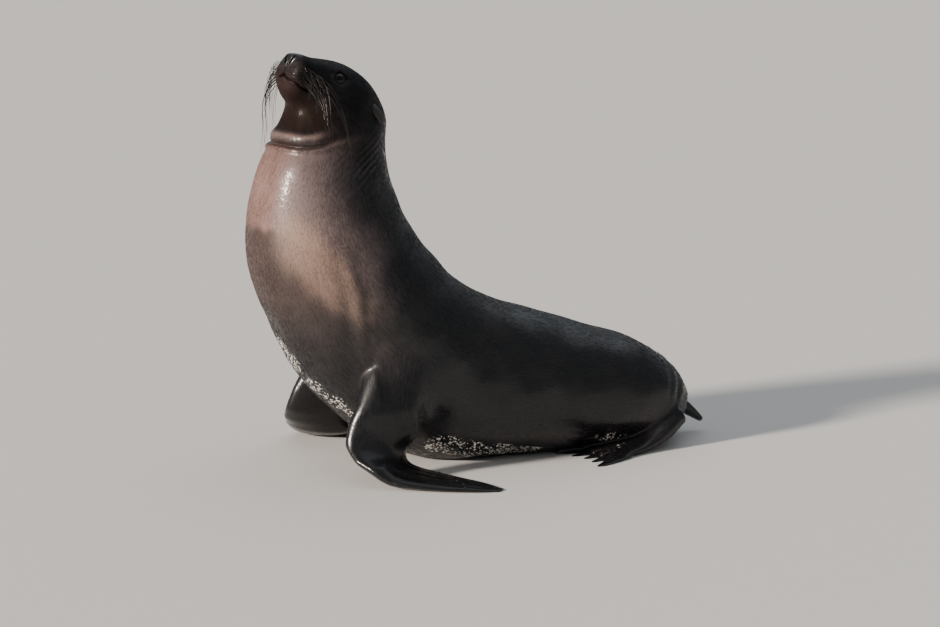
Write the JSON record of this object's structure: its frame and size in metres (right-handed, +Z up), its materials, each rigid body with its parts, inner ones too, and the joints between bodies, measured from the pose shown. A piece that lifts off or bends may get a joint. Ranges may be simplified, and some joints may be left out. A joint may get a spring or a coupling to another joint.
{
  "type": "sea lion",
  "caption": "Life-size still model of an adult female Galapagos sea lion, propped up on its fore flippers with head raised and hips resting on the floor.",
  "frame": {"origin": "on the floor, under the middle of the belly, where the belly rests", "axes": "+Z up; the animal faces -Y and its left side is +X"},
  "size_m": [0.77, 1.0139, 0.849],
  "materials": {
    "coat": "wet, short, sleek dark brown fur, paler brown on throat and chest",
    "naked_skin": "wet black hairless skin",
    "eye": "polished, almost black"
  },
  "bodies": {
    "root": {"head": "coat", "lower_jaw": "coat", "ear_left": "coat", "ear_right": "coat", "neck": "coat", "chest": "coat", "loins": "coat", "rump": "coat", "tail": "coat", "fore_arm_left": "coat", "fore_arm_right": "coat", "nose": "naked_skin", "fore_flipper_left": "naked_skin", "fore_flipper_right": "naked_skin", "hind_flipper_left": "naked_skin", "hind_flipper_right": "naked_skin", "eye_left": "eye", "eye_right": "eye"}
  },
  "joints": []
}
